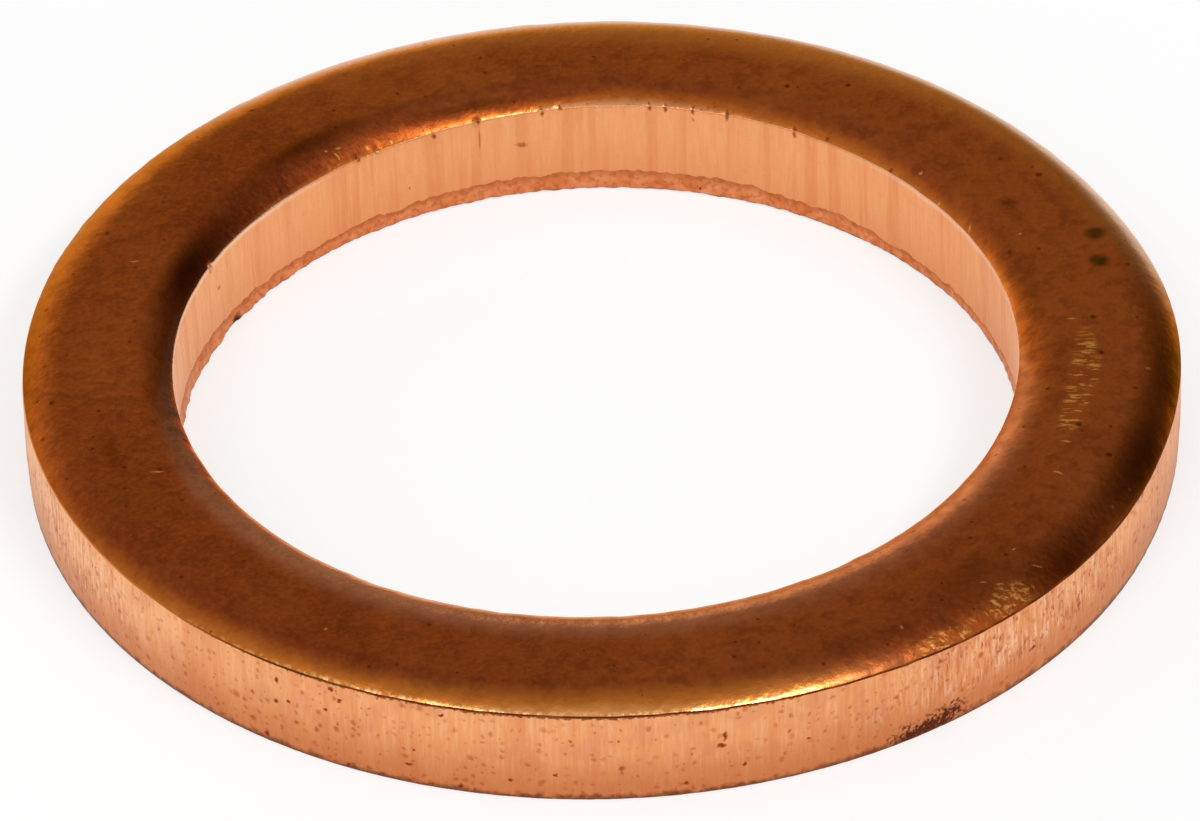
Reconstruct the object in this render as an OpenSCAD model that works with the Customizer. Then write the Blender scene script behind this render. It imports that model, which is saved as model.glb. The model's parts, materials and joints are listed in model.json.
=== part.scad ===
// Copper crush washer: one flat ring blanked from soft sheet, which seals under the head of an M14 plug.
// The ring lies on Z = 0 with its axis on Z and the side that the punch met facing up. Sizes are in millimetres.

/* [Ring] */
// Outside diameter across the sheared rim
outer_d = 19.5; // [18:0.1:24]
// Diameter of the sheared bore
bore_d = 14.3; // [14.1:0.1:14.9]
// Thickness of the copper sheet
sheet_t = 2; // [1.5:0.1:3]

/* [Rolled top edges] */
// Width of the top face that the blanking cut drew down towards the rim
rim_roll_w = 0.65; // [0.45:0.05:0.8]
// Depth of that roll-over where it meets the rim
rim_roll_h = 0.31; // [0.15:0.01:0.4]
// Width of the top face that the piercing cut drew down towards the bore
bore_roll_w = 0.6; // [0.4:0.05:0.7]
// Depth of that roll-over where it meets the bore
bore_roll_h = 0.26; // [0.1:0.01:0.3]

/* [Torn foot] */
// Height of the torn band at the foot of the rim
rim_torn_h = 0.55; // [0.2:0.05:0.8]
// Distance that the torn band draws in at the bottom of the rim
rim_torn_in = 0.03; // [0.01:0.01:0.1]
// Height of the torn band at the foot of the bore
bore_torn_h = 0.37; // [0.2:0.01:0.7]
// Distance that the torn band opens out at the bottom of the bore
bore_torn_out = 0.03; // [0.01:0.01:0.1]

/* [Hidden] */
$fn = 180;
outer_r = outer_d / 2;
bore_r = bore_d / 2;
// Slope, in degrees, at which a roll-over leaves the flat top face
roll_start_a = 3;
copper = [0.62, 0.34, 0.17];

// Sheet as the punch and die part it: an upright sheared land on each side above a torn foot
module sheared_section() {
  polygon([
    [bore_r + bore_torn_out, 0],
    [outer_r - rim_torn_in, 0],
    [outer_r, rim_torn_h],
    [outer_r, sheet_t],
    [bore_r, sheet_t],
    [bore_r, bore_torn_h]
  ]);
}

// What a roll-over takes off a corner at the origin whose metal lies to the lower left:
// a circular arc from the top face, roll_w in from the corner, down to the wall, roll_h below it
module roll_over(roll_w, roll_h) {
  chord_a = atan(roll_h / roll_w);
  roll_r = norm([roll_w, roll_h]) / (2 * sin(chord_a - roll_start_a));
  arc_x = -roll_w - roll_r * sin(roll_start_a);
  arc_z = -roll_r * cos(roll_start_a);
  translate([arc_x, arc_z])
    difference() {
      square(2 * roll_r);
      circle(r = roll_r);
    }
}

// Half section of the finished ring, beside the axis
module ring_section() {
  difference() {
    sheared_section();
    translate([outer_r, sheet_t])
      roll_over(rim_roll_w, rim_roll_h);
    translate([bore_r, sheet_t])
      mirror([1, 0])
        roll_over(bore_roll_w, bore_roll_h);
  }
}

module washer() {
  color(copper)
    rotate_extrude()
      ring_section();
}

washer();
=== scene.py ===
"""Copper crush washer: a stamped ring with oxidised faces, rolled edges, sheared walls and a torn foot."""
import json
import math

import bmesh
import bpy
from mathutils import Matrix, Vector
from mathutils.kdtree import KDTree


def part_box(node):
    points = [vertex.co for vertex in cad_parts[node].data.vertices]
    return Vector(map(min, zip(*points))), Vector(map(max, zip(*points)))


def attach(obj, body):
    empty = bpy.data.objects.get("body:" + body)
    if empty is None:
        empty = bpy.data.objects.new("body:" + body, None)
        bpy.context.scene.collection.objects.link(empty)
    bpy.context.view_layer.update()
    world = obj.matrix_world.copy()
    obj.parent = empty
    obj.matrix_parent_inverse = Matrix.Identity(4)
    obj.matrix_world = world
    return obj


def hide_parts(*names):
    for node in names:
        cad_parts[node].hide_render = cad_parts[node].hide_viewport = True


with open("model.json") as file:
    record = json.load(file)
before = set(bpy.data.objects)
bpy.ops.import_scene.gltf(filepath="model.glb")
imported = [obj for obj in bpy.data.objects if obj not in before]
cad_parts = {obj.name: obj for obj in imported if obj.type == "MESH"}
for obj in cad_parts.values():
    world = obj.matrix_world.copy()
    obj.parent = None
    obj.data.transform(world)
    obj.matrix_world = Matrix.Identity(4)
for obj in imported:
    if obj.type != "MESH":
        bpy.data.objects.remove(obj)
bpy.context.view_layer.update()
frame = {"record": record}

# Sizes of the ring, in metres
MM = 0.001
ring_low, ring_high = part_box("washer")
bore_mount = next(mount for mount in frame["record"]["mounts"] if mount["name"] == "bore")
RIM_R = ring_high[0]
SHEET_T = ring_high[2] - ring_low[2]
BORE_R = bore_mount["dims"]["r_mm"] * MM
RIM_ROLL_W = 0.65 * MM
RIM_ROLL_H = 0.31 * MM
BORE_ROLL_W = 0.6 * MM
BORE_ROLL_H = 0.26 * MM
ROLL_START = math.radians(3)
RIM_TORN_H = 0.55 * MM
RIM_TORN_IN = 0.03 * MM
BORE_TORN_H = 0.37 * MM
# The bore's foot leans in a little, as the photograph shows it
BORE_TORN_LEAN = 0.025 * MM
CORNER_ROUND = 0.02 * MM
FOOT_ROUND = 0.02 * MM
HAIR = 0.002 * MM
RING_STEPS = 1080
SMOOTH_BELOW = math.radians(50)

# The camera, as in the photograph
PHOTO_W = 1200
PHOTO_H = 821
SENSOR_W = 36.0
CAMERA_LENS = 343.9
CAMERA_DISTANCE = 0.195
CAMERA_RISE = math.radians(37.43)
CAMERA_ROLL = math.radians(-1.44)
RING_CENTRE_PIXEL = (600.5, 437.4)

# Light level of the room, and the floor paper's grey and its glow to the camera
ROOM_LEVEL = 0.7
PAPER_GREY = 0.45
PAPER_GLOW = 0.655


def srgb(red, green, blue):
    """A colour as seen on a screen, 0 to 255, as the linear colour that a shader takes."""
    shown = [value / 255 for value in (red, green, blue)]
    linear = [value / 12.92 if value < 0.04045 else ((value + 0.055) / 1.055) ** 2.4 for value in shown]
    return (*linear, 1.0)


def direction(azimuth, rise):
    """Unit vector: azimuth counts from +X towards +Y, rise is above the floor, in degrees."""
    across, up = math.radians(azimuth), math.radians(rise)
    return Vector((math.cos(up) * math.cos(across), math.cos(up) * math.sin(across), math.sin(up)))


def polar(place):
    """Angle in degrees from +X towards +Y, and radius."""
    return math.degrees(math.atan2(place.y, place.x)) % 360, math.hypot(place.x, place.y)


def at(angle, radius, height):
    """Place on the ring, from an angle in degrees, a radius and a height."""
    turn = math.radians(angle)
    return Vector((radius * math.cos(turn), radius * math.sin(turn), height))


# Shader nodes
def feed(tree, node, inputs):
    """Gives each named input of a node a plain value or the output of another node."""
    for name, value in inputs.items():
        if isinstance(value, bpy.types.NodeSocket):
            tree.links.new(value, node.inputs[name])
        else:
            node.inputs[name].default_value = value


def add_node(tree, kind, inputs, **settings):
    node = tree.nodes.new("ShaderNode" + kind)
    for name, value in settings.items():
        setattr(node, name, value)
    feed(tree, node, inputs)
    return node


def calc(tree, operation, first, second=0.0):
    return add_node(tree, "Math", {0: first, 1: second}, operation=operation).outputs[0]


def ramp(tree, value, start, end, low=0.0, high=1.0):
    """Smooth change from low, where the value is start, to high, where it is end."""
    limits = {"Value": value, "From Min": start, "From Max": end, "To Min": low, "To Max": high}
    return add_node(tree, "MapRange", limits, interpolation_type='SMOOTHSTEP').outputs[0]


def blend(tree, share, first, second):
    return add_node(tree, "Mix", {0: share, 6: first, 7: second}, data_type='RGBA').outputs[2]


def distance_towards(tree, place, way):
    """Distance of a place along the given way."""
    return add_node(tree, "VectorMath", {0: place, 1: way}, operation='DOT_PRODUCT').outputs["Value"]


def new_group(name, inputs, output, kind="Float"):
    """A node group with the named inputs and one output."""
    group = bpy.data.node_groups.new(name, 'ShaderNodeTree')
    for socket, socket_kind in inputs.items():
        group.interface.new_socket(socket, in_out='INPUT', socket_type="NodeSocket" + socket_kind)
    group.interface.new_socket(output, in_out='OUTPUT', socket_type="NodeSocket" + kind)
    return group, group.nodes.new("NodeGroupInput").outputs, group.nodes.new("NodeGroupOutput").inputs


def put(tree, group, inputs):
    """Places a group in a material and gives its one output."""
    return add_node(tree, "Group", inputs, node_tree=group).outputs[0]


def make_mottle():
    """Cloudy patches of the given size in millimetres."""
    group, given, result = new_group("mottle", {"Place": "Vector", "Size": "Float"}, "Tone")
    scale = calc(group, 'DIVIDE', 1.0, given["Size"])
    clouds = {"Vector": given["Place"], "Scale": scale, "Detail": 2.5, "Roughness": 0.5}
    cloud = add_node(group, "TexNoise", clouds)
    group.links.new(ramp(group, cloud.outputs[0], 0.3, 0.7), result["Tone"])
    return group


def make_streaks():
    """Lines of the given width, drawn out along the axes whose share is small."""
    sockets = {"Place": "Vector", "Width": "Float", "Shares": "Vector"}
    group, given, result = new_group("streaks", sockets, "Streak")
    drawn = add_node(group, "VectorMath", {0: given["Place"], 1: given["Shares"]}, operation='MULTIPLY')
    scale = calc(group, 'DIVIDE', 1.0, given["Width"])
    noise = {"Vector": drawn.outputs[0], "Scale": scale, "Detail": 3.0, "Roughness": 0.65}
    lines = add_node(group, "TexNoise", noise)
    group.links.new(ramp(group, lines.outputs[0], 0.3, 0.7), result["Streak"])
    return group


def make_specks():
    """Scattered dots over X and Y: a share of the cells holds one, up to the given size in cells."""
    sockets = {"Place": "Vector", "Spacing": "Float", "Share": "Float", "Size": "Float"}
    group, given, result = new_group("specks", sockets, "Mask")
    scale = calc(group, 'DIVIDE', 1.0, given["Spacing"])
    grid = {"Vector": given["Place"], "Scale": scale}
    cells = add_node(group, "TexVoronoi", grid, voronoi_dimensions='2D')
    draw = add_node(group, "SeparateColor", {"Color": cells.outputs["Color"]})
    held = calc(group, 'LESS_THAN', draw.outputs["Red"], given["Share"])
    reach = calc(group, 'MULTIPLY', given["Size"], ramp(group, draw.outputs["Green"], 0.0, 1.0, 0.35, 1.0))
    inner = calc(group, 'MULTIPLY', reach, 0.2)
    dot = ramp(group, cells.outputs["Distance"], reach, inner)
    group.links.new(calc(group, 'MULTIPLY', held, dot), result["Mask"])
    return group


def make_mark():
    """One mark: a rounded spot with the given centre, turn and half sizes, in millimetres."""
    sockets = {"Place": "Vector", "Centre": "Vector", "Turn": "Vector", "Half Size": "Vector",
               "Edge": "Float"}
    group, given, result = new_group("mark", sockets, "Mask")
    frame_in = {"Vector": given["Place"], "Location": given["Centre"], "Rotation": given["Turn"],
                "Scale": given["Half Size"]}
    local = add_node(group, "Mapping", frame_in, vector_type='TEXTURE')
    reach = add_node(group, "VectorMath", {0: local.outputs[0]}, operation='LENGTH').outputs["Value"]
    group.links.new(ramp(group, reach, 1.0, given["Edge"]), result["Mask"])
    return group


def make_ragged():
    """Push to and fro of the given grain and reach, in millimetres, for marks with ragged edges."""
    sockets = {"Place": "Vector", "Grain": "Float", "Reach": "Float"}
    group, given, result = new_group("ragged", sockets, "Push", "Vector")
    scale = calc(group, 'DIVIDE', 1.0, given["Grain"])
    clouds = add_node(group, "TexNoise", {"Vector": given["Place"], "Scale": scale, "Detail": 2.0})
    middle = {0: clouds.outputs["Color"], 1: (0.5, 0.5, 0.5)}
    centred = add_node(group, "VectorMath", middle, operation='SUBTRACT').outputs[0]
    reach = calc(group, 'MULTIPLY', given["Reach"], 2.0)
    push = add_node(group, "VectorMath", {0: centred, "Scale": reach}, operation='SCALE').outputs[0]
    group.links.new(push, result["Push"])
    return group


MOTTLE, STREAKS, SPECKS = make_mottle(), make_streaks(), make_specks()
MARK, RAGGED = make_mark(), make_ragged()


# Dimmer sides of the room: way to the middle, angles from it where the dimming starts and is full, light left
DIM_SIDES = [(direction(75, 40), 80, 25, 0.55), (direction(36, 18), 46, 14, 0.15)]


# Camera, light and floor
def set_camera():
    camera = bpy.data.objects.new("photo_camera", bpy.data.cameras.new("photo_camera"))
    bpy.context.scene.collection.objects.link(camera)
    camera.data.sensor_width = SENSOR_W
    camera.data.lens = CAMERA_LENS
    camera.data.clip_start = 0.01
    camera.data.clip_end = 10
    turn = Matrix.Rotation(math.pi / 2 - CAMERA_RISE, 4, 'X') @ Matrix.Rotation(CAMERA_ROLL, 4, 'Z')
    pixel = CAMERA_DISTANCE / (CAMERA_LENS / SENSOR_W * PHOTO_W)
    aside = (PHOTO_W / 2 - RING_CENTRE_PIXEL[0]) * pixel
    above = (RING_CENTRE_PIXEL[1] - PHOTO_H / 2) * pixel
    camera.matrix_world = turn @ Matrix.Translation((aside, above, CAMERA_DISTANCE))
    bpy.context.scene.camera = camera


def add_softbox(name, azimuth, rise, distance, width, height, power):
    """A soft panel that faces the ring."""
    lamp = bpy.data.lights.new(name, 'AREA')
    lamp.shape = 'RECTANGLE'
    lamp.size = width
    lamp.size_y = height
    lamp.energy = power
    softbox = bpy.data.objects.new(name, lamp)
    bpy.context.scene.collection.objects.link(softbox)
    softbox.location = direction(azimuth, rise) * distance
    softbox.rotation_euler = softbox.location.to_track_quat('Z', 'Y').to_euler()
    softbox.visible_camera = False


def set_world():
    """Pale room that is dimmer behind the ring, and dark low down to the right."""
    world = bpy.data.worlds.new("soft_room")
    bpy.context.scene.world = world
    world.use_nodes = True
    tree = world.node_tree
    seen = add_node(tree, "TexCoord", {}).outputs["Generated"]
    level = ROOM_LEVEL
    for middle, outer, inner, share in DIM_SIDES:
        outer_edge, inner_edge = math.cos(math.radians(outer)), math.cos(math.radians(inner))
        dim = ramp(tree, distance_towards(tree, seen, middle), outer_edge, inner_edge, 1.0, share)
        level = calc(tree, 'MULTIPLY', level, dim)
    feed(tree, tree.nodes["Background"], {"Color": (1, 1, 1, 1), "Strength": level})


def white_paper():
    """Floor paper: white to the camera and in reflections, and still darkened by the ring's shadow."""
    paper = bpy.data.materials.new("white_paper")
    paper.use_nodes = True
    tree = paper.node_tree
    path = add_node(tree, "LightPath", {})
    seen = calc(tree, 'MAXIMUM', path.outputs["Is Camera Ray"], path.outputs["Is Glossy Ray"])
    feed(tree, tree.nodes["Principled BSDF"], {
        "Base Color": (PAPER_GREY, PAPER_GREY, PAPER_GREY, 1), "Roughness": 0.9, "Specular IOR Level": 0.1,
        "Emission Color": (1, 1, 1, 1), "Emission Strength": calc(tree, 'MULTIPLY', seen, PAPER_GLOW),
    })
    return paper


def lay_floor():
    bpy.ops.object.select_all(action='DESELECT')
    bpy.ops.mesh.primitive_plane_add(size=6, location=(0, 0, -HAIR))
    floor = bpy.context.object
    floor.name = "floor"
    floor.data.materials.append(white_paper())


# Section of the ring, from the bore's foot round by the rim
def line(start, end, steps):
    return [(start[0] + (end[0] - start[0]) * k / steps, start[1] + (end[1] - start[1]) * k / steps)
            for k in range(steps)]


def roll_over(edge, side, width, depth, steps):
    """Arc from the flat face down to the wall; side is 1 at the rim and -1 at the bore."""
    chord = math.atan2(depth, width)
    radius = math.hypot(width, depth) / (2 * math.sin(chord - ROLL_START))
    centre = -width - radius * math.sin(ROLL_START)
    fall = radius * math.cos(ROLL_START)
    arc = []
    for k in range(steps + 1):
        tilt = ROLL_START + (2 * chord - 2 * ROLL_START) * k / steps
        out = edge + side * (centre + radius * math.sin(tilt))
        arc.append((out, SHEET_T - fall + radius * math.cos(tilt)))
    return arc


RIM_FOOT = (RIM_R - RIM_TORN_IN, 0.0)
RIM_TEAR = (RIM_R, RIM_TORN_H)
RIM_CORNER = (RIM_R, SHEET_T - RIM_ROLL_H)
BORE_FOOT = (BORE_R - BORE_TORN_LEAN, 0.0)
BORE_TEAR = (BORE_R, BORE_TORN_H)
BORE_CORNER = (BORE_R, SHEET_T - BORE_ROLL_H)


def ring_section():
    rim_arc = roll_over(RIM_R, 1, RIM_ROLL_W, RIM_ROLL_H, 10)
    bore_arc = roll_over(BORE_R, -1, BORE_ROLL_W, BORE_ROLL_H, 8)
    return (line(BORE_FOOT, RIM_FOOT, 6) + line(RIM_FOOT, RIM_TEAR, 8) + line(RIM_TEAR, RIM_CORNER, 11)
            + rim_arc[:0:-1] + line(rim_arc[0], bore_arc[0], 15) + bore_arc[:-1]
            + line(BORE_CORNER, BORE_TEAR, 12) + line(BORE_TEAR, BORE_FOOT, 8))


def near(place, corner, reach):
    return math.hypot(math.hypot(place.x, place.y) - corner[0], place.z - corner[1]) < reach


def select_points(piece, wanted):
    """Leaves the piece in edit mode with only the wanted points selected."""
    bpy.ops.object.mode_set(mode='EDIT')
    bpy.ops.mesh.select_mode(type='VERT')
    bpy.ops.mesh.select_all(action='DESELECT')
    shape = bmesh.from_edit_mesh(piece.data)
    for point in shape.verts:
        point.select_set(wanted(point.co))
    shape.select_flush_mode()
    bmesh.update_edit_mesh(piece.data)


def turn_ring():
    """The section drawn as a wire, point by point, its corners rounded, and turned once round the axis."""
    section = ring_section()
    bpy.ops.object.select_all(action='DESELECT')
    bpy.ops.mesh.primitive_plane_add(size=MM, location=(section[0][0], 0, section[0][1]))
    ring = bpy.context.object
    ring.name = "stamped_ring"
    bpy.ops.object.transform_apply(location=True)
    bpy.ops.object.mode_set(mode='EDIT')
    bpy.ops.mesh.select_all(action='SELECT')
    bpy.ops.mesh.merge(type='CENTER')
    for (r0, z0), (r1, z1) in zip(section, section[1:]):
        bpy.ops.mesh.extrude_vertices_move(TRANSFORM_OT_translate={"value": (r1 - r0, 0, z1 - z0)})
    ends = (section[0], section[-1])
    select_points(ring, lambda place: any(near(place, end, HAIR) for end in ends))
    bpy.ops.mesh.edge_face_add()
    select_points(ring, lambda place: near(place, RIM_CORNER, HAIR) or near(place, BORE_CORNER, HAIR))
    bpy.ops.mesh.bevel(offset=CORNER_ROUND, segments=3, affect='VERTICES')
    select_points(ring, lambda place: near(place, RIM_FOOT, HAIR) or near(place, BORE_FOOT, HAIR))
    bpy.ops.mesh.bevel(offset=FOOT_ROUND, segments=2, affect='VERTICES')
    bpy.ops.object.mode_set(mode='OBJECT')
    lathe = ring.modifiers.new("lathe", 'SCREW')
    lathe.axis = 'Z'
    lathe.angle = 2 * math.pi
    lathe.steps = RING_STEPS
    lathe.render_steps = RING_STEPS
    bpy.ops.object.modifier_apply(modifier=lathe.name)
    bpy.ops.object.mode_set(mode='EDIT')
    bpy.ops.mesh.select_all(action='SELECT')
    bpy.ops.mesh.remove_doubles(threshold=0.001 * MM)
    bpy.ops.mesh.normals_make_consistent(inside=False)
    bpy.ops.object.mode_set(mode='OBJECT')
    return ring


# Uneven edges, waves and streaks of the pressed ring
# Moves of the rolled edges die out at this height of the walls
CALM_H = 0.8 * MM
# Chips at the foot reach up to here
CHIP_H = 0.1 * MM
# Radius between the bore's side and the rim's side
MIDDLE_R = 8.5 * MM


def fade(value, full, none):
    """1 at full, falling smoothly to 0 at none."""
    share = min(max((value - none) / (full - none), 0.0), 1.0)
    return share * share * (3 - 2 * share)


def lobe(angle, middle, reach):
    """1 at the middle angle, falling smoothly to 0 at reach degrees to either side."""
    return fade(abs((angle - middle + 180) % 360 - 180), 0, reach)


def on_rim(radius):
    return radius > RIM_R - RIM_TORN_IN - HAIR


def on_bore(radius):
    return radius < BORE_R + HAIR


def rim_roll(radius, height):
    """Share of the rolled rim's depth, fading out again down the wall."""
    if radius < RIM_R - RIM_ROLL_W:
        return 0.0
    return min((SHEET_T - height) / RIM_ROLL_H, 1.0) * fade(height, RIM_CORNER[1], CALM_H)


def rim_sag(radius, height):
    """Outer part of the top face and the wall below it."""
    return fade(radius, 9.5 * MM, MIDDLE_R) * fade(height, RIM_CORNER[1], CALM_H)


def bore_roll(radius, height):
    if radius > BORE_R + BORE_ROLL_W:
        return 0.0
    return min((SHEET_T - height) / BORE_ROLL_H, 1.0) * fade(height, BORE_CORNER[1], CALM_H)


def wall_limits(radius):
    """Heights of the tear and of the top corner on the wall at this radius, or None away from both walls."""
    if on_rim(radius):
        return RIM_TORN_H, RIM_CORNER[1]
    if on_bore(radius):
        return BORE_TORN_H, BORE_CORNER[1]
    return None


def wall_band(radius, height):
    """Both sheared walls, between the tear and the rolled edge."""
    limits = wall_limits(radius)
    if limits is None:
        return 0.0
    tear, corner = limits
    return fade(height, tear + 0.1 * MM, tear) * fade(height, corner - 0.1 * MM, corner)


def torn_band(radius, height):
    """Both torn bands; the rim tore more cleanly than the bore."""
    limits = wall_limits(radius)
    if limits is None:
        return 0.0
    return fade(height, limits[0] - 0.12 * MM, limits[0]) * (0.35 if on_rim(radius) else 1.0)


def tear_line(radius, height):
    limits = wall_limits(radius)
    if limits is None:
        return 0.0
    return fade(abs(height - limits[0]), 0, 0.3 * MM)


def foot_edge(radius, height):
    """Both bottom edges; the rim's is chipped less."""
    if height > CHIP_H:
        return 0.0
    side = min(RIM_R - radius, radius - BORE_R)
    chipped = 0.3 if radius > MIDDLE_R else 1.0
    return fade(height, 0, CHIP_H) * fade(side, 0.05 * MM, 0.4 * MM) * chipped


def flat_top(radius, height):
    if height < SHEET_T - HAIR:
        return 0.0
    inner, outer = BORE_R + BORE_ROLL_W, RIM_R - RIM_ROLL_W
    return fade(radius, inner + 0.2 * MM, inner) * fade(radius, outer - 0.2 * MM, outer)


# Each move: how far a point of this angle, radius and height goes along, then distance and way at full weight
SHIFTS = {
    "bore_lean": (lambda a, r, z: fade(r, BORE_R, 9 * MM) * z / SHEET_T, -0.055 * MM, 'X'),
    "rim_out_right": (lambda a, r, z: fade(r, RIM_R, 8.6 * MM) * lobe(a, 4, 26), 0.09 * MM, 'X'),
    "rim_out_front": (lambda a, r, z: fade(r, RIM_R, 8.6 * MM) * lobe(a, 328, 50), 0.058 * MM, 'X'),
    "rim_deep_right": (lambda a, r, z: lobe(a, 332, 85) * rim_roll(r, z), -0.1 * MM, 'Z'),
    "rim_sag_right": (lambda a, r, z: lobe(a, 335, 75) * rim_sag(r, z), -0.055 * MM, 'Z'),
    "rim_deep_back": (lambda a, r, z: lobe(a, 38, 32) * rim_roll(r, z), -0.06 * MM, 'Z'),
    "rim_shallow_back": (lambda a, r, z: lobe(a, 100, 50) * rim_roll(r, z), 0.03 * MM, 'Z'),
    "rim_shallow_front": (lambda a, r, z: lobe(a, 255, 45) * rim_roll(r, z), 0.045 * MM, 'Z'),
    "rim_shallow_corner": (lambda a, r, z: lobe(a, 284, 52) * rim_roll(r, z), 0.075 * MM, 'Z'),
    "rim_shallow_left": (lambda a, r, z: lobe(a, 205, 32) * rim_roll(r, z), 0.05 * MM, 'Z'),
    "bore_shallow_back": (lambda a, r, z: lobe(a, 68, 45) * bore_roll(r, z), 0.06 * MM, 'Z'),
    "bore_deep_left": (lambda a, r, z: lobe(a, 128, 50) * bore_roll(r, z), -0.1 * MM, 'Z'),
    "bore_shallow_front": (lambda a, r, z: lobe(a, 290, 110) * bore_roll(r, z), 0.05 * MM, 'Z'),
    "low_tear_left": (lambda a, r, z: on_bore(r) * lobe(a, 132, 42) * tear_line(r, z), -0.09 * MM, 'Z'),
    "low_tear_right": (lambda a, r, z: on_bore(r) * lobe(a, 28, 42) * tear_line(r, z), -0.17 * MM, 'Z'),
}
# The same for clouded moves, with the grain of the clouds in mm and how much longer they run upright
CLOUDS = {
    "edge_waver": (lambda a, r, z: rim_roll(r, z) + bore_roll(r, z), 0.04 * MM, 'Z', 0.5, 50),
    "tear_waver": (lambda a, r, z: tear_line(r, z), 0.16 * MM, 'Z', 0.4, 50),
    "tear_nibs": (lambda a, r, z: on_bore(r) * tear_line(r, z), 0.09 * MM, 'Z', 0.12, 50),
    "wall_streaks": (lambda a, r, z: wall_band(r, z), 0.022 * MM, 'NORMAL', 0.13, 14),
    "wall_ridges": (lambda a, r, z: wall_band(r, z), 0.025 * MM, 'NORMAL', 0.6, 25),
    "torn_grain": (lambda a, r, z: torn_band(r, z), 0.035 * MM, 'NORMAL', 0.2, 1),
    "torn_teeth": (lambda a, r, z: on_bore(r) * torn_band(r, z) * lobe(a, 150, 60),
                   0.1 * MM, 'NORMAL', 0.28, 3),
    "foot_chips": (lambda a, r, z: foot_edge(r, z), 0.05 * MM, 'Z', 0.16, 1),
    "face_swells": (lambda a, r, z: flat_top(r, z), 0.022 * MM, 'NORMAL', 2.2, 1),
    "face_ripples": (lambda a, r, z: flat_top(r, z), 0.006 * MM, 'NORMAL', 0.4, 1),
}


def weigh_points(ring):
    """One vertex group for each move, from the ring's places before any move."""
    groups = {name: ring.vertex_groups.new(name=name) for name in (*SHIFTS, *CLOUDS)}
    weights = {name: move[0] for name, move in (*SHIFTS.items(), *CLOUDS.items())}
    for point in ring.data.vertices:
        angle, radius = polar(point.co)
        for name, weight in weights.items():
            share = weight(angle, radius, point.co.z)
            if share > 0:
                groups[name].add([point.index], min(share, 1.0), 'REPLACE')


def add_move(ring, name, distance, way):
    move = ring.modifiers.new(name, 'DISPLACE')
    move.vertex_group = name
    move.strength = distance
    move.direction = way
    move.mid_level = 0
    return move


def press_ring(ring):
    """Moves the ring's points, first the plain shifts and then the clouded ones."""
    weigh_points(ring)
    for name, (_, distance, way) in SHIFTS.items():
        add_move(ring, name, distance, way)
        bpy.ops.object.modifier_apply(modifier=name)
    for name, (_, distance, way, grain, run) in CLOUDS.items():
        clouds = bpy.data.textures.new(name, 'CLOUDS')
        clouds.noise_scale = grain
        clouds.noise_depth = 2
        guide = bpy.data.objects.new(name, None)
        bpy.context.scene.collection.objects.link(guide)
        guide.scale = (MM, MM, MM * run)
        bpy.context.view_layer.update()
        move = add_move(ring, name, distance, way)
        move.texture = clouds
        move.texture_coords = 'OBJECT'
        move.texture_coords_object = guide
        move.mid_level = 0.0 if name == "foot_chips" else 0.5
        bpy.ops.object.modifier_apply(modifier=name)
        bpy.data.objects.remove(guide)
    ring.vertex_groups.clear()


def bore_edge_height(angle):
    """Height of the bore's top corner, which rolls down unevenly, in mm."""
    shifts = [SHIFTS[name] for name in ("bore_shallow_back", "bore_deep_left", "bore_shallow_front")]
    return (BORE_CORNER[1] + sum(way[1] * way[0](angle, *BORE_CORNER) for way in shifts)) / MM


# Nicks in the bore's top edge: angle, how far below the edge, reach and depth in mm
NICKS = [
    (112.7, 0.06, 0.08, 0.03), (106.1, -0.02, 0.08, 0.04), (97.0, 0.04, 0.08, 0.01),
    (94.4, -0.04, 0.09, 0.006), (82.0, 0.03, 0.08, 0.012), (79.8, 0.04, 0.08, 0.012),
    (75.8, 0.03, 0.09, 0.012), (70.9, 0.05, 0.09, 0.012), (60.7, 0.06, 0.11, 0.015),
    (156.2, 0.0, 0.1, 0.05), (124.5, 0.0, 0.07, 0.03), (121.0, -0.03, 0.07, 0.03),
]
# Crack below one of them: angle, and its lower and upper end; it is pressed in by short steps, sizes in mm
CRACK = (106.0, 1.0, 1.62)
CRACK_STEPS = 6
CRACK_DEPTH = 0.012
CRACK_REACH = 0.07
# Share of the bore's lean at the height of its top edge
EDGE_LEAN = 0.85


def dent(ring, places, tree):
    """Pushes the nearest point to each place, with its neighbours, by the given move."""
    bpy.ops.object.mode_set(mode='EDIT')
    bpy.ops.mesh.select_mode(type='VERT')
    for place, push, reach in places:
        bpy.ops.mesh.select_all(action='DESELECT')
        shape = bmesh.from_edit_mesh(ring.data)
        shape.verts.ensure_lookup_table()
        shape.verts[tree.find(place)[1]].select_set(True)
        shape.select_flush_mode()
        bpy.ops.transform.translate(value=push, use_proportional_edit=True,
                                    proportional_edit_falloff='SMOOTH', proportional_size=reach)
    bpy.ops.object.mode_set(mode='OBJECT')


def nick_edges(ring):
    tree = KDTree(len(ring.data.vertices))
    for point in ring.data.vertices:
        tree.insert(point.co, point.index)
    tree.balance()
    shift = Vector((EDGE_LEAN * SHIFTS["bore_lean"][1], 0, 0))
    places = []
    for angle, below, reach, depth in NICKS:
        place = at(angle, BORE_R, (bore_edge_height(angle) - below) * MM) + shift
        outward = at(angle, depth * MM, 0) - Vector((0, 0, 0.5 * depth * MM))
        places.append((place, outward, reach * MM))
    angle, low, high = CRACK
    for k in range(CRACK_STEPS + 1):
        place = at(angle, BORE_R, (low + (high - low) * k / CRACK_STEPS) * MM) + shift
        places.append((place, at(angle, CRACK_DEPTH * MM, 0), CRACK_REACH * MM))
    dent(ring, places, tree)


def flatten_foot(ring):
    """Brings points that the moves took below the floor back up to it."""
    select_points(ring, lambda place: place.z < 0)
    bpy.ops.transform.resize(value=(1, 1, 0), center_override=(0, 0, 0))
    bpy.ops.object.mode_set(mode='OBJECT')


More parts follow.
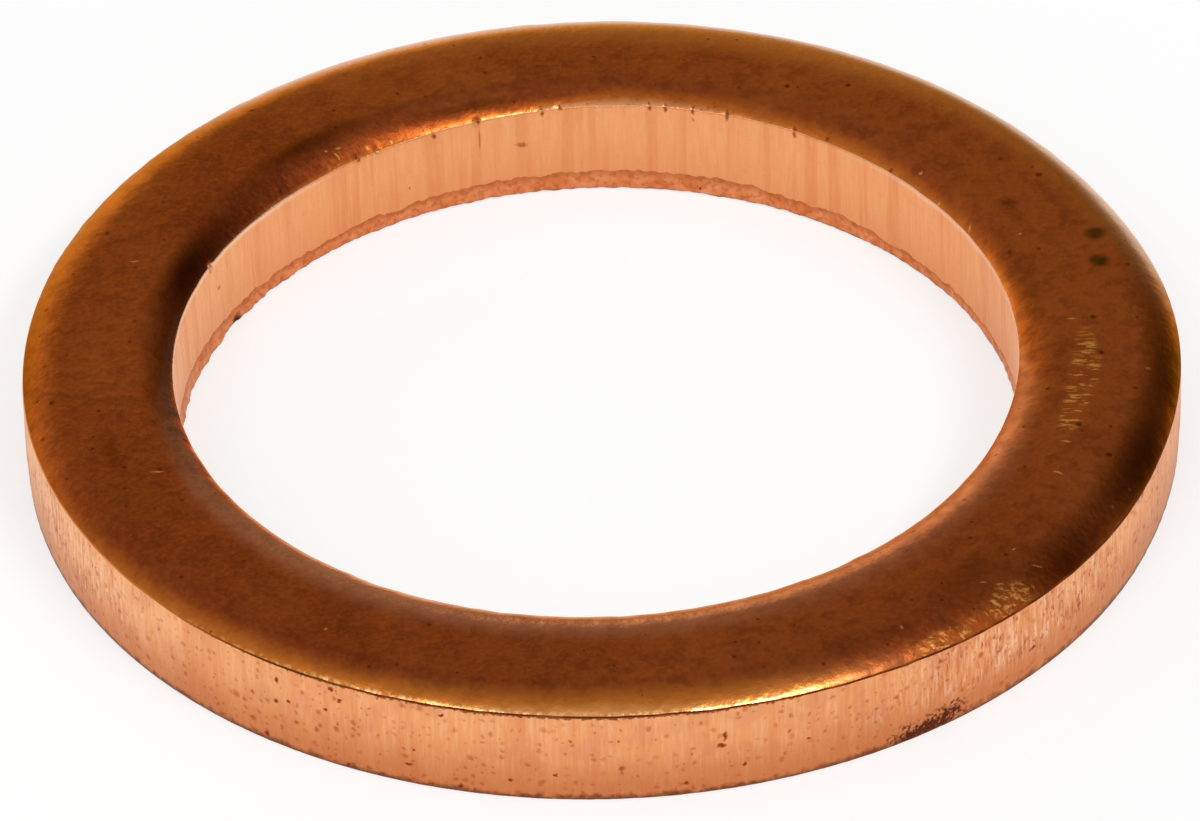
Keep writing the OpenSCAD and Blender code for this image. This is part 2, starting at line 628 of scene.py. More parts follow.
def dress_faces(ring, finishes):
    """Gives every face of the turned ring its finish, by its place in the section."""
    for finish in finishes.values():
        ring.data.materials.append(finish)
    index = {name: k for k, name in enumerate(finishes)}
    for face in ring.data.polygons:
        radius, height = math.hypot(face.center.x, face.center.y), face.center.z
        limits = wall_limits(radius)
        if near(face.center, RIM_CORNER, 1.1 * CORNER_ROUND):
            finish = "edge"
        elif near(face.center, BORE_CORNER, 1.1 * CORNER_ROUND):
            finish = "wall"
        elif height < HAIR:
            finish = "underside"
        elif limits is None or height > limits[1]:
            finish = "top"
        else:
            finish = "torn" if height < limits[0] and on_bore(radius) else "wall"
        face.material_index = index[finish]


# How far the ring is rubbed, with straight changes between the given angles. On the rolled rim: angle, shares
# of the roll's width where the rub starts and where it is full, and strength.
RIM_RUBS = [
    (0, 0.6, 1.3, 0.0), (195, 0.6, 1.3, 0.0), (210, 0.5, 1.3, 0.55), (240, 0.3, 1.35, 1.0),
    (270, 0.0, 0.95, 1.0), (287, 0.1, 1.0, 0.85), (300, 0.3, 1.1, 0.15), (318, 0.5, 1.2, 0.0),
    (360, 0.6, 1.3, 0.0),
]
# The same for the tan that the rim fades to at the back, a painted sheen where the roll would reflect the
# pale room
RIM_SHEEN_TANS = [
    (0, 0.3, 1.0, 0.0), (20, -0.4, 0.9, 0.9), (60, -0.95, 0.5, 1.0), (90, -0.95, 0.5, 0.95),
    (120, -0.8, 1.0, 0.6), (150, -0.35, 1.15, 0.5), (180, -0.1, 1.0, 0.1), (205, 0.0, 1.0, 0.0),
    (360, 0.3, 1.0, 0.0),
]
# On the rolled bore: angle, radii in mm where the rubbing starts and where it is full, and strength. Here it
# is
# also painted sheen: a pale line along the corner at the left and right, and a pale tan band along the front
# edge from 210 to 330 degrees
BORE_RUBS_AND_SHEEN = [
    (0, 7.22, 7.14, 0.5), (20, 7.3, 7.15, 0.6), (35, 7.35, 7.15, 0.7), (60, 7.55, 7.15, 0.75),
    (85, 7.55, 7.15, 1.0), (100, 7.23, 7.16, 1.0), (112, 7.22, 7.16, 1.0), (120, 7.22, 7.15, 0.9),
    (140, 7.2, 7.14, 1.0), (165, 7.2, 7.14, 1.0), (180, 7.35, 7.15, 0.9), (210, 8.0, 7.35, 0.75),
    (240, 8.15, 7.4, 0.85), (270, 8.2, 7.35, 0.75), (300, 8.3, 7.3, 0.55), (330, 8.1, 7.25, 0.5),
    (350, 7.7, 7.15, 0.35), (360, 7.22, 7.14, 0.5),
]
# Soft dark patches on the top: angle, radius, half sizes across and along, strength. Some are smudges; those
# on the right rim's roll, from 322 to 354 degrees, are painted shade for a dark reflection, and the one at
# 107 degrees is painted shade that narrows the glow above the bore's highlight
SMUDGES_AND_SHADE = [
    (340, 9.7, 0.75, 2.4, 1.0), (322, 9.7, 0.6, 1.8, 1.0), (354, 9.65, 0.5, 1.6, 0.7),
    (182, 9.7, 0.4, 3.2, 0.35), (349, 7.25, 0.25, 1.6, 0.3), (160, 7.4, 0.5, 1.8, 1.0),
    (130, 7.75, 0.32, 1.9, 0.8), (12, 7.5, 0.35, 2.2, 0.5), (198, 8.6, 0.25, 0.7, 0.5),
    (27.5, 8.04, 0.25, 0.25, 0.5), (313, 8.9, 0.6, 1.4, 0.35), (107, 7.36, 0.2, 2.0, 0.8),
]
# Grime on the rim: angle, height, half sizes along and up
GRIME = [(302.5, 0.12, 1.2, 0.42), (305.3, 0.3, 0.4, 0.34), (300.5, 0.1, 0.5, 0.25)]
# Places on the top that a tool chattered over: angle, radius, half sizes across and along
CHATTER_PATCHES = [(350, 8.27, 0.36, 2.2), (313.5, 9.57, 0.3, 0.75), (304.5, 9.66, 0.2, 0.8)]
# Scraped parts of the rim: angle, and reach to either side in degrees
SCRAPED_RIM = [(317, 32), (204, 24)]
# Points above this height belong to the top, and points of the bore below the other to its torn foot, in mm
TOP_ABOVE = 1.4
TORN_BELOW = 0.6
# Heights over which the rubbing and its painted sheen fade below the bore's corner, and the shade fades below
# the tear
RUB_DROP = 0.08 * MM
TEAR_SHADE = 0.17 * MM
# Strip below the rim's corner that keeps the rub of the roll above it
CORNER_STRIP = 0.03 * MM


def patch(angle, level, spot, radius):
    """Soft round patch: spot gives its angle, its level, and half sizes over the level and along the ring."""
    middle, centre, over, along = spot
    turned = math.radians((angle - middle + 180) % 360 - 180) * radius
    return fade(math.hypot((level - centre) / over, turned / along), 0, 1)


def along_ring(table, angle):
    """The values that a table of angles gives here."""
    for before, after in zip(table, table[1:]):
        if before[0] <= angle <= after[0]:
            share = (angle - before[0]) / (after[0] - before[0])
            return [low + (high - low) * share for low, high in zip(before[1:], after[1:])]


def paint_wear(ring):
    """A colour for each point that says how worn it is, and where sheen and shade are painted.

    Red is rubbed, with painted highlight and sheen on parts of the bore's edge, and on the bore's torn foot
    it is closeness to the tear. Green is smudged, in places painted shade. Blue is a painted tan sheen on the
    top and grimy on the rim. Alpha is chattered on the top and scraped on the rim.
    """
    wear = ring.data.color_attributes.new("wear", 'FLOAT_COLOR', 'POINT')
    for point, shade in zip(ring.data.vertices, wear.data):
        angle, radius = polar(point.co)
        height, radius_mm = point.co.z / MM, radius / MM
        rub_and_sheen = smudge_and_shade = grime_and_sheen = scraped = 0.0
        if height > TOP_ABOVE:
            rim_share = 1 - (RIM_R - radius) / RIM_ROLL_W
            # Painted sheen: tan towards the back of the rim, standing in for a reflection of the pale room
            start, full, strength = along_ring(RIM_SHEEN_TANS, angle)
            grime_and_sheen = strength * fade(rim_share, full, start)
            start, full, strength = along_ring(RIM_RUBS, angle)
            rub_and_sheen = strength * fade(rim_share, full, start)
            # Rubbing of the bore's edge, with painted sheen along its corner at the sides and along its front
            start, full, strength = along_ring(BORE_RUBS_AND_SHEEN, angle)
            above = fade(point.co.z, BORE_CORNER[1], BORE_CORNER[1] - RUB_DROP)
            rub_and_sheen = max(rub_and_sheen, strength * fade(radius_mm, full, start) * above)
            # Smudges, and painted shade on the right rim's roll and above the bore's highlight
            smudge_and_shade = max(spot[4] * patch(angle, radius_mm, spot[:4], radius_mm) for spot in SMUDGES_AND_SHADE)
            scraped = max(patch(angle, radius_mm, spot, radius_mm) for spot in CHATTER_PATCHES)
        if on_rim(radius) and point.co.z < RIM_CORNER[1] - CORNER_STRIP:
            grime_and_sheen = max(patch(angle, height, (a, z, up, along), radius_mm) for a, z, along, up in GRIME)
            scraped = max(lobe(angle, *spot) for spot in SCRAPED_RIM)
            rub_and_sheen = 0.0
        if on_bore(radius) and height < TORN_BELOW:
            rub_and_sheen = fade(point.co.z, BORE_TORN_H, BORE_TORN_H - TEAR_SHADE)
        shade.color = (rub_and_sheen, smudge_and_shade, grime_and_sheen, scraped)


# Finishes
GRAZING_TINT = srgb(255, 246, 234)
OXIDE_TINT = srgb(246, 214, 172)
BROWN_DEEP = srgb(152, 66, 28)
BROWN_WARM = srgb(192, 99, 42)
BROWN_RED = srgb(160, 68, 30)
BROWN_DARK = srgb(112, 47, 26)
BROWN_PALE = srgb(206, 118, 56)
GOLD_RUB = srgb(240, 144, 54)
SHEEN_TAN = srgb(228, 138, 60)
PALE_SHEEN = srgb(238, 178, 118)
RUB_AND_SHEEN_COPPER = srgb(230, 164, 104)
INNER_TAN = srgb(224, 150, 112)
INNER_ORANGE = srgb(230, 126, 46)
LIP_GLINT = srgb(255, 206, 140)
STAIN = srgb(62, 46, 20)
SPOT = srgb(76, 24, 2)
SCRATCH = srgb(255, 178, 86)
WALL_COPPER = srgb(242, 166, 110)
WALL_PALE = srgb(252, 196, 148)
WALL_RED = srgb(222, 130, 78)
WALL_PINK = srgb(224, 146, 106)
WALL_LOW_SHADE = srgb(196, 112, 64)
WALL_SHEEN = srgb(255, 226, 196)
PIT_BROWN = srgb(176, 70, 12)
BRUISE = srgb(140, 50, 8)
DIRT = srgb(84, 26, 4)
FOOT_BROWN = srgb(96, 44, 20)
TORN_COPPER = srgb(214, 122, 70)
TORN_PALE = srgb(230, 146, 96)
TORN_DARK = srgb(176, 92, 48)
EDGE_BROWN = srgb(108, 48, 12)

# Ways from the middle of the ring: to the part of its face that is a lighter brown, to the far part of its
# rim, where the edge gets a painted pale sheen, to the part of its rim that was pressed smooth, and to its
# left, towards which the walls are painted paler
WARM_SIDE = direction(40, 0)
FAR_SIDE = direction(72, 0)
SHINY_SIDE = direction(291, 0)
LEFT_SIDE = direction(180, 0)
# Distances along those ways between which the change is made, in mm
WARM_PART = (-3.0, 9.0)
FAR_PART = (3.0, 8.0)
FAR_BORE = (0.5, 4.0)
SHINY_PART = (9.3, 9.65)
# Radii between which a finish changes, in mm: to the bore's side, to the rim's side, to the painted pale
# sheen of the edge, to the lip of the rim with its painted glint, and to the flecked edge of the bore
BORE_SIDE = (8.5, 8.3)
RIM_SIDE = (8.2, 8.8)
PALE_SHEEN_EDGE = (9.15, 9.6)
RIM_LIP = (9.66, 9.72)
FLECKED_EDGE = (7.45, 7.3)

# Marks on the top face: angle and radius, and the half sizes across, along and up that they share, in mm
STAINS = [(18.2, 9.0), (13.2, 8.8)]
STAIN_SIZE = (0.26, 0.24, 0.3)
DARK_DOTS = [
    (2.7, 8.4), (342.2, 8.4), (338.3, 9.1), (356, 8.5), (187.6, 9.3), (64.9, 8.05), (58.5, 8.53),
    (30.5, 8.89),
]
DOT_SIZE = (0.09, 0.08, 0.3)
CHATTER = [(2.6, 8.03), (354.4, 8.16), (347.9, 8.35), (344.6, 8.3), (342.5, 8.17), (338.7, 8.35), (333, 8.53)]
CHATTER_SIZE = (0.13, 0.035, 0.3)
FLECKS = [
    (331.9, 9.6), (335.5, 9.65), (353.9, 9.3), (301.7, 9.23), (40.1, 7.37), (34.2, 7.15), (21.2, 7.78),
    (238.8, 8.84),
]
FLECK_SIZE = (0.055, 0.04, 0.4)
# Scratches: angle, radius, half length and half width, turn from the radial way in degrees
SCRATCHES = [
    (26.9, 7.2, 0.1, 0.03, 60), (203.6, 8.08, 0.16, 0.035, -25), (319, 9.44, 0.13, 0.03, 46),
    (319, 8.97, 0.08, 0.02, 66), (312.8, 9.16, 0.08, 0.02, 66), (314.1, 9.35, 0.1, 0.025, 66),
    (314.2, 9.5, 0.11, 0.025, 60), (315.6, 9.61, 0.12, 0.03, 50), (315.1, 9.65, 0.07, 0.04, 6),
    (317, 9.64, 0.07, 0.025, 6), (312.7, 9.47, 0.05, 0.03, 60), (313.3, 9.57, 0.05, 0.04, 40),
    (312.1, 9.7, 0.05, 0.04, 0), (310.6, 9.63, 0.07, 0.03, 20), (308.8, 9.6, 0.1, 0.03, 50),
    (305.2, 9.68, 0.06, 0.03, 20), (303.6, 9.68, 0.06, 0.03, 50), (128.3, 7.46, 0.05, 0.03, 60),
    (126.6, 7.42, 0.08, 0.03, 70), (127.3, 7.32, 0.08, 0.04, 20), (122.6, 7.26, 0.07, 0.04, 60),
    (119, 7.22, 0.06, 0.04, 60), (161.3, 8.33, 0.13, 0.018, 19),
]
# Dark tops of the nicks: half sizes across and up, and turn in degrees
NICK_ACROSS = 0.13
NICK_UP = 0.3
NICK_TURN = 20
# Fine marks lie this far below the level of the face, on its rolled edges, and reach this far up and down
FINE_DROP = 0.1
FINE_UP = 0.4
# Marks on the walls reach this far into the metal
WALL_IN = 0.3
# Pits in the rim: angle, height, half sizes along and up
RIM_PITS = [
    (281.3, 1.16, 0.045, 0.14), (280.9, 0.97, 0.11, 0.06), (250.4, 0.43, 0.1, 0.045),
    (251, 0.75, 0.045, 0.05), (253.9, 1.57, 0.06, 0.05), (255.5, 0.13, 0.06, 0.07),
    (260.5, 0.39, 0.05, 0.055), (264.9, 0.55, 0.05, 0.045), (289.7, 0.76, 0.05, 0.035),
    (283.2, 0.5, 0.05, 0.06), (277.5, 0.27, 0.05, 0.06), (236.3, 1.4, 0.05, 0.09),
    (242.4, 1.6, 0.07, 0.08), (241.8, 1.13, 0.05, 0.05), (316.2, 0.62, 0.05, 0.05),
    (236.2, 0.96, 0.05, 0.07), (237.6, 1.04, 0.06, 0.05), (243.3, 1.41, 0.05, 0.05),
    (234.8, 0.16, 0.08, 0.08), (244, 0.1, 0.06, 0.06),
]
# Marks in the bore wall and burrs at its foot: angle, height, half sizes along and up
BORE_MARKS = [
    (100, 1.06, 0.16, 0.06), (154.6, 1.08, 0.09, 0.05), (116.7, 0.67, 0.04, 0.04),
    (75.8, 1.6, 0.035, 0.05),
]
BORE_BURRS = [
    (150.5, 0.06, 0.17, 0.16), (74.9, 0.14, 0.03, 0.04), (26.7, 0.02, 0.08, 0.06), (44, 0.02, 0.08, 0.06),
]


def new_finish(name, roughness):
    """Bare metal; gives the material, its nodes, its shader and the place on the ring in millimetres."""
    finish = bpy.data.materials.new(name)
    finish.use_nodes = True
    tree = finish.node_tree
    shader = tree.nodes["Principled BSDF"]
    feed(tree, shader, {"Metallic": 1, "Roughness": roughness, "Specular Tint": GRAZING_TINT})
    spot = add_node(tree, "TexCoord", {}).outputs["Object"]
    place = add_node(tree, "VectorMath", {0: spot, "Scale": 1 / MM}, operation='SCALE').outputs[0]
    return finish, tree, shader, place


def read_wear(tree):
    """Rubbed (with painted highlight and sheen), smudged (with painted shade), grimy (a painted tan sheen on
    the top) and scraped shares of a point, as paint_wear sets them.
    """
    wear = add_node(tree, "VertexColor", {}, layer_name="wear")
    shares = add_node(tree, "SeparateColor", {"Color": wear.outputs["Color"]})
    return shares.outputs["Red"], shares.outputs["Green"], shares.outputs["Blue"], wear.outputs["Alpha"]


def mottled(tree, place, size):
    return put(tree, MOTTLE, {"Place": place, "Size": size})


def pushed(tree, place, grain, reach):
    """The same place, pushed to and fro, for marks with ragged edges."""
    push = put(tree, RAGGED, {"Place": place, "Grain": grain, "Reach": reach})
    return add_node(tree, "VectorMath", {0: place, 1: push}, operation='ADD').outputs[0]


def height_of(tree, place):
    return add_node(tree, "SeparateXYZ", {0: place}).outputs["Z"]


def distance_out(tree, place):
    """Distance of a place from the ring's axis."""
    flat = add_node(tree, "VectorMath", {0: place, 1: (1, 1, 0)}, operation='MULTIPLY').outputs[0]
    return add_node(tree, "VectorMath", {0: flat}, operation='LENGTH').outputs["Value"]


def unroll(tree, place):
    """The place on a wall as if it were unrolled: X runs along the wall and Y up it."""
    axes = add_node(tree, "SeparateXYZ", {0: place}).outputs
    turned = calc(tree, 'ARCTAN2', axes["Y"], axes["X"])
    along = calc(tree, 'MULTIPLY', turned, distance_out(tree, place))
    return add_node(tree, "CombineXYZ", {"X": along, "Y": axes["Z"]}).outputs[0]


def marks(tree, place, spots, edge):
    """Masks of all the spots together: angle, radius, height, half sizes across, along and up, and turn."""
    joined = None
    for angle, radius, height, across, along, up, turn in spots:
        spot = put(tree, MARK, {"Place": place, "Centre": at(angle, radius, height),
                                "Turn": (0, 0, math.radians(angle + turn)),
                                "Half Size": (across, along, up), "Edge": edge})
        joined = spot if joined is None else calc(tree, 'MAXIMUM', joined, spot)
    return joined


def wall_spots(radius, spots):
    """Spots on the wall of this radius, for marks, from angles, heights and half sizes along and up."""
    return [(a, radius, z, WALL_IN, along, up, 0) for a, z, along, up in spots]


def part(tree, mask, share):
    """A mask at part of its strength; the share may be a mask as well."""
    return calc(tree, 'MULTIPLY', mask, share)


def blend_value(tree, share, first, second):
    return add_node(tree, "Mix", {0: share, 2: first, 3: second}, data_type='FLOAT').outputs[0]


def add_bump(tree, shader, height):
    """Relief in millimetres."""
    bump = add_node(tree, "Bump", {"Height": height, "Distance": MM})
    feed(tree, shader, {"Normal": bump.outputs[0]})


def brown_oxide(name, level, worn):
    """Brown oxide on a face at this level, rubbed to gold on its rolled edges, with a painted tan sheen
    towards the back of the rim, painted highlight and sheen on the bore's edge and a painted glint on the
    rim's lip; worn adds the marks of use, with painted shade among the smudges and a painted pale sheen on
    the far edge.
    """
    finish, tree, shader, place = new_finish(name, 0.38)
    rub_and_sheen, smudge_and_shade, tan, chatter = read_wear(tree)
    broad = mottled(tree, place, 3.0)
    cloud = mottled(tree, place, 0.9)
    soft = mottled(tree, place, 0.3)
    fine = mottled(tree, place, 0.1)
    colour = blend(tree, part(tree, broad, 0.6), BROWN_DEEP, BROWN_WARM)
    warm = distance_towards(tree, place, WARM_SIDE)
    colour = blend(tree, ramp(tree, warm, *WARM_PART, 0.0, 0.6), colour, BROWN_WARM)
    colour = blend(tree, part(tree, cloud, 0.4), colour, BROWN_RED)
    colour = blend(tree, ramp(tree, soft, 0.3, 1.0, 0.0, 0.36), colour, BROWN_DARK)
    colour = blend(tree, ramp(tree, fine, 0.2, 1.0, 0.0, 0.16), colour, BROWN_PALE)
    # Painted sheen: tan towards the back of the rim, standing in for a reflection of the pale room
    colour = blend(tree, tan, colour, SHEEN_TAN)
    gold = part(tree, rub_and_sheen, ramp(tree, soft, 0.0, 1.0, 1.0, 0.8))
    radius = distance_out(tree, place)
    far = distance_towards(tree, place, FAR_SIDE)
    if worn:
        # Painted sheen: the far part of the rim's edge turns paler, as a reflection of the pale room would
        # make it
        pale = part(tree, ramp(tree, radius, *PALE_SHEEN_EDGE), ramp(tree, far, *FAR_PART, 0.0, 0.9))
        colour = blend(tree, pale, colour, PALE_SHEEN)
    bright = blend(tree, ramp(tree, rub_and_sheen, 0.75, 1.0, 0.0, 0.45), GOLD_RUB, RUB_AND_SHEEN_COPPER)
    # On the bore's side the rubbing carries painted sheen: a pale tan band on the front edge and a pale line
    # along the corner at the sides
    inner = blend(tree, ramp(tree, far, *FAR_BORE), INNER_TAN, INNER_ORANGE)
    inner = blend(tree, ramp(tree, rub_and_sheen, 0.65, 1.0, 0.0, 0.8), inner, RUB_AND_SHEEN_COPPER)
    on_bore_side = ramp(tree, radius, *BORE_SIDE)
    bright = blend(tree, on_bore_side, bright, inner)
    colour = blend(tree, gold, colour, bright)
    # Painted glint: pale flecks along the rim's lip, where its rounding would catch the light
    lip = part(tree, ramp(tree, radius, *RIM_LIP), ramp(tree, fine, 0.3, 0.8, 0.0, 0.6))
    colour = blend(tree, part(tree, lip, ramp(tree, rub_and_sheen, 0.45, 0.7)), colour, LIP_GLINT)
    dots = put(tree, SPECKS, {"Place": place, "Spacing": 0.5, "Share": 0.3, "Size": 0.12})
    colour = blend(tree, part(tree, dots, 0.6), colour, SPOT)
    flecks = put(tree, SPECKS, {"Place": place, "Spacing": 0.11, "Share": 0.4, "Size": 0.4})
    flecks = part(tree, flecks, rub_and_sheen)
    flecks = part(tree, flecks, ramp(tree, radius, *FLECKED_EDGE, 0.0, 0.6))
    colour = blend(tree, flecks, colour, BROWN_RED)
    rough = ramp(tree, rub_and_sheen, 0.0, 1.0, 0.36, 0.2)
    rough = calc(tree, 'ADD', rough, part(tree, soft, 0.05))
    if worn:
        # Dark patches: smudges, and painted shade on the right rim's roll and above the bore's highlight
        colour = blend(tree, part(tree, smudge_and_shade, 0.85), colour, SPOT)
        ripple = put(tree, STREAKS, {"Place": place, "Width": 0.075, "Shares": (0.22, 1.0, 1.0)})
        scuffed = ramp(tree, chatter, 0.05, 0.5)
        colour = blend(tree, part(tree, scuffed, 0.25), colour, BROWN_WARM)
        ripple = part(tree, ramp(tree, ripple, 0.5, 0.9, 0.0, 0.75), scuffed)
        colour = blend(tree, ripple, colour, SCRATCH)
        torn_place = pushed(tree, place, 0.2, 0.05)
        stains = [(a, r, level, *STAIN_SIZE, 0) for a, r in STAINS]
        stain = marks(tree, torn_place, stains, 0.3)
        colour = blend(tree, part(tree, stain, 0.8), colour, STAIN)
        dots = [(a, r, level, *DOT_SIZE, 0) for a, r in DARK_DOTS]
        for angle, below, reach, _ in NICKS:
            edge = bore_edge_height(angle) - below
            dots.append((angle, BORE_R / MM, edge, NICK_ACROSS, 0.5 * reach, NICK_UP, NICK_TURN))
        dark = marks(tree, torn_place, dots, 0.2)
        colour = blend(tree, part(tree, dark, 0.8), colour, SPOT)
        fine_level = level - FINE_DROP
        cuts = [(a, r, level, *CHATTER_SIZE, 0) for a, r in CHATTER]
        cuts += [(a, r, fine_level, *FLECK_SIZE, 0) for a, r in FLECKS]
        cuts += [(a, r, fine_level, half, wide, FINE_UP, turn) for a, r, half, wide, turn in SCRATCHES]
        cut = marks(tree, pushed(tree, place, 0.12, 0.04), cuts, 0.1)
        colour = blend(tree, part(tree, cut, 0.85), colour, SCRATCH)
        rough = blend_value(tree, cut, rough, 0.28)
    shiny = distance_towards(tree, place, SHINY_SIDE)
    most = ramp(tree, on_bore_side, 0.0, 1.0, 0.4, 0.9)
    shine = part(tree, ramp(tree, rub_and_sheen, 0.7, 1.0), most)
    shine = calc(tree, 'MAXIMUM', shine, ramp(tree, shiny, *SHINY_PART, 0.0, 0.5))
    if worn:
        shine = calc(tree, 'MAXIMUM', shine, ramp(tree, pale, 0.0, 0.5, 0.0, 0.9))
    feed(tree, shader, {"Base Color": colour, "Specular Tint": OXIDE_TINT, "Roughness": rough,
                        "Coat Weight": shine, "Coat Roughness": 0.2})
    add_bump(tree, shader, calc(tree, 'ADD', part(tree, soft, 0.004), part(tree, fine, 0.002)))
    return finish


def sheared_copper():
    """Bright copper drawn into upright streaks; the rim has pits and dirt. Painted shade darkens the walls
    towards the foot, the rim's most, painted light makes them paler towards the left, and a painted highlight
    lines the bore's top corner at its sides.
    """
    finish, tree, shader, place = new_finish("sheared_copper", 0.34)
    rub_and_sheen, _, grime, scrape = read_wear(tree)
    radius, height = distance_out(tree, place), height_of(tree, place)
    hair = put(tree, STREAKS, {"Place": place, "Width": 0.055, "Shares": (1.0, 1.0, 0.09)})
    band = put(tree, STREAKS, {"Place": place, "Width": 0.35, "Shares": (1.0, 1.0, 0.04)})
    cloud = mottled(tree, place, 0.6)
    fine = mottled(tree, place, 0.07)
    outer = ramp(tree, radius, *RIM_SIDE)
    hair_share = calc(tree, 'ADD', ramp(tree, outer, 0.0, 1.0, 0.14, 0.4), part(tree, scrape, 0.2))
    pale = part(tree, ramp(tree, hair, 0.4, 1.0), hair_share)
    colour = blend(tree, pale, WALL_COPPER, WALL_PALE)
    # Painted light: the walls turn paler towards the left
    left = distance_towards(tree, place, LEFT_SIDE)
    colour = blend(tree, ramp(tree, left, 4.0, 9.5, 0.0, 0.5), colour, WALL_PALE)
    colour = blend(tree, ramp(tree, band, 0.4, 1.0, 0.0, 0.4), colour, WALL_RED)
    pink = part(tree, ramp(tree, cloud, 0.4, 1.0, 0.0, 0.45), outer)
    colour = blend(tree, pink, colour, WALL_PINK)
    # Painted shade: the walls darker towards the foot, the rim's most
    low = part(tree, ramp(tree, height, 1.4, 0.1), ramp(tree, outer, 0.0, 1.0, 0.3, 0.75))
    colour = blend(tree, low, colour, WALL_LOW_SHADE)
    torn_place = pushed(tree, place, 0.1, 0.05)
    rough_place = pushed(tree, unroll(tree, place), 0.1, 0.06)
    drawn_up = {0: rough_place, 1: (1.0, 0.3, 1.0)}
    upright = add_node(tree, "VectorMath", drawn_up, operation='MULTIPLY').outputs[0]
    small = put(tree, SPECKS, {"Place": rough_place, "Spacing": 0.15, "Share": 0.4, "Size": 0.5})
    large = put(tree, SPECKS, {"Place": rough_place, "Spacing": 0.4, "Share": 0.32, "Size": 0.24})
    pits = calc(tree, 'MAXIMUM', part(tree, small, 0.5), part(tree, large, 0.8))
    bars = put(tree, STREAKS, {"Place": place, "Width": 0.07, "Shares": (1.0, 1.0, 0.15)})
    scored = part(tree, scrape, ramp(tree, height, 0.4, 0.8))
    pale_bars = part(tree, ramp(tree, bars, 0.6, 0.95, 0.0, 0.45), scored)
    colour = blend(tree, pale_bars, colour, WALL_SHEEN)
    dashes = put(tree, SPECKS, {"Place": upright, "Spacing": 0.1, "Share": 0.5, "Size": 0.36})
    dashes = calc(tree, 'MAXIMUM', part(tree, dashes, 0.85), ramp(tree, bars, 0.4, 0.1, 0.0, 0.4))
    dashes = part(tree, dashes, ramp(tree, scored, 0.0, 1.0, 0.15, 1.0))
    pits = calc(tree, 'MAXIMUM', pits, dashes)
    pits = part(tree, pits, ramp(tree, outer, 0.0, 1.0, 0.1, 1.0))
    pits = part(tree, pits, ramp(tree, cloud, 0.1, 0.8, 0.5, 1.0))
    colour = blend(tree, pits, colour, PIT_BROWN)
    # Painted highlight: a pale line along the bore's top corner at its sides
    painted_corner_sheen = part(tree, rub_and_sheen, ramp(tree, height, 1.3, 1.5))
    aside = ramp(tree, calc(tree, 'ABSOLUTE', left), 4.0, 6.0)
    painted_corner_sheen = part(tree, painted_corner_sheen, aside)
    painted_corner_sheen = part(tree, painted_corner_sheen, ramp(tree, outer, 0.0, 1.0, 1.0, 0.0))
    colour = blend(tree, part(tree, painted_corner_sheen, 0.8), colour, WALL_SHEEN)
    rim, bore = RIM_R / MM, BORE_R / MM
    bruise = part(tree, marks(tree, torn_place, wall_spots(bore, BORE_MARKS), 0.2), 0.75)
    nicks = [(angle, bore_edge_height(angle) - below, 0.6 * reach, 1.1 * reach)
             for angle, below, reach, _ in NICKS]
    bruise = calc(tree, 'MAXIMUM', bruise, marks(tree, torn_place, wall_spots(bore, nicks), 0.2))
    angle, low_end, high_end = CRACK
    crack = wall_spots(bore, [(angle, (low_end + high_end) / 2, 0.025, (high_end - low_end) / 2)])
    bruise = calc(tree, 'MAXIMUM', bruise, part(tree, marks(tree, place, crack, 0.3), 0.6))
    colour = blend(tree, part(tree, bruise, 0.85), colour, BRUISE)
    gouge = marks(tree, torn_place, wall_spots(rim, RIM_PITS), 0.35)
    colour = blend(tree, part(tree, gouge, 0.95), colour, BRUISE)
    gathered = calc(tree, 'ADD', fine, part(tree, grime, 1.1))
    dirt = part(tree, ramp(tree, gathered, 0.75, 1.5, 0.0, 0.97), ramp(tree, grime, 0.0, 0.2))
    colour = blend(tree, dirt, colour, DIRT)
    corner = part(tree, calc(tree, 'ADD', rub_and_sheen, part(tree, fine, 0.5)), outer)
    colour = blend(tree, ramp(tree, corner, 0.75, 1.15, 0.0, 0.8), colour, EDGE_BROWN)
    low_edge = height_of(tree, pushed(tree, place, 0.16, 0.14))
    colour = blend(tree, ramp(tree, low_edge, 0.17, 0.02, 0.0, 0.8), colour, FOOT_BROWN)
    rough = calc(tree, 'ADD', ramp(tree, hair, 0.0, 1.0, 0.4, 0.34), part(tree, pits, 0.15))
    feed(tree, shader, {"Base Color": colour, "Roughness": rough})
    add_bump(tree, shader, calc(tree, 'ADD', part(tree, hair, 0.003), part(tree, fine, 0.002)))
    return finish


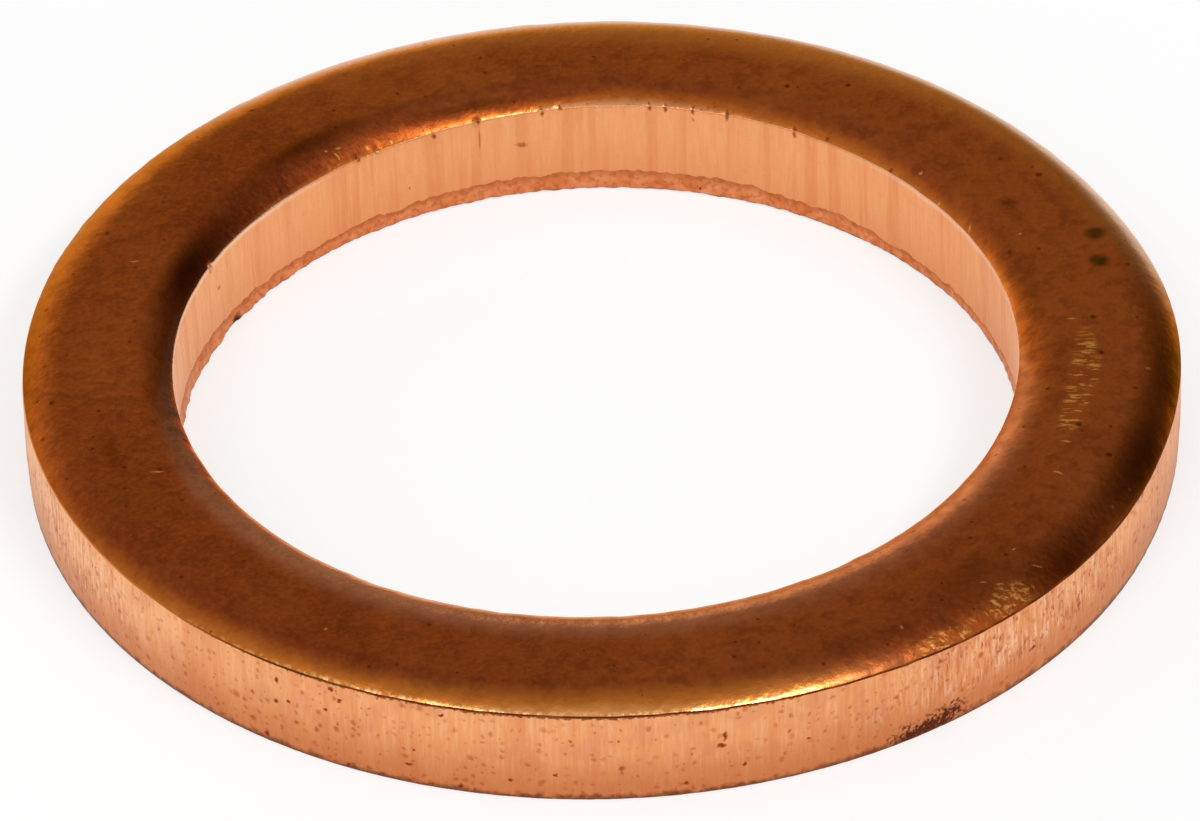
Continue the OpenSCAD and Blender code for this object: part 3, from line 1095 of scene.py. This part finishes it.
def torn_copper():
    """Rough copper where the sheet broke away from the bore, dark under the tear and along the bottom."""
    finish, tree, shader, place = new_finish("torn_copper", 0.45)
    tear = read_wear(tree)[0]
    height = height_of(tree, place)
    cloud = mottled(tree, place, 0.25)
    fine = mottled(tree, place, 0.1)
    colour = blend(tree, cloud, TORN_COPPER, TORN_PALE)
    colour = blend(tree, ramp(tree, fine, 0.4, 1.0, 0.0, 0.45), colour, TORN_DARK)
    colour = blend(tree, part(tree, tear, 0.55), colour, TORN_DARK)
    colour = blend(tree, ramp(tree, height, 0.06, 0.015, 0.0, 0.7), colour, FOOT_BROWN)
    torn_place = pushed(tree, place, 0.1, 0.05)
    burr = marks(tree, torn_place, wall_spots(BORE_R / MM, BORE_BURRS), 0.2)
    colour = blend(tree, part(tree, burr, 0.95), colour, DIRT)
    rough = calc(tree, 'ADD', 0.38, part(tree, fine, 0.1))
    feed(tree, shader, {"Base Color": colour, "Roughness": rough})
    add_bump(tree, shader, part(tree, fine, 0.004))
    return finish


def edge_line():
    """Thin dark line of oxide on the rim's corner."""
    finish, tree, shader, place = new_finish("edge_line", 0.55)
    cloud = mottled(tree, place, 0.4)
    left = distance_towards(tree, place, LEFT_SIDE)
    colour = blend(tree, ramp(tree, cloud, 0.5, 1.0, 0.0, 0.15), EDGE_BROWN, GOLD_RUB)
    colour = blend(tree, ramp(tree, left, 5.0, 8.5, 0.0, 0.8), colour, GOLD_RUB)
    feed(tree, shader, {"Base Color": colour})
    return finish


def make_finishes():
    return {
        "top": brown_oxide("oxidised_top", SHEET_T / MM, worn=True),
        "underside": brown_oxide("oxidised_underside", 0.0, worn=False),
        "wall": sheared_copper(),
        "torn": torn_copper(),
        "edge": edge_line(),
    }


set_camera()
set_world()
lay_floor()
add_softbox("right_softbox", azimuth=-51, rise=49, distance=0.4, width=0.18, height=0.04, power=0.36)
add_softbox("left_softbox", azimuth=-126, rise=50, distance=0.4, width=0.1, height=0.06, power=0.08)
add_softbox("back_softbox", azimuth=118, rise=14, distance=0.5, width=0.5, height=0.2, power=0.3)

washer_ring = turn_ring()
dress_faces(washer_ring, make_finishes())
paint_wear(washer_ring)
press_ring(washer_ring)
nick_edges(washer_ring)
flatten_foot(washer_ring)
bpy.ops.object.shade_smooth_by_angle(angle=SMOOTH_BELOW)
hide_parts("washer")
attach(washer_ring, "root")

bpy.context.scene.view_settings.view_transform = 'Standard'
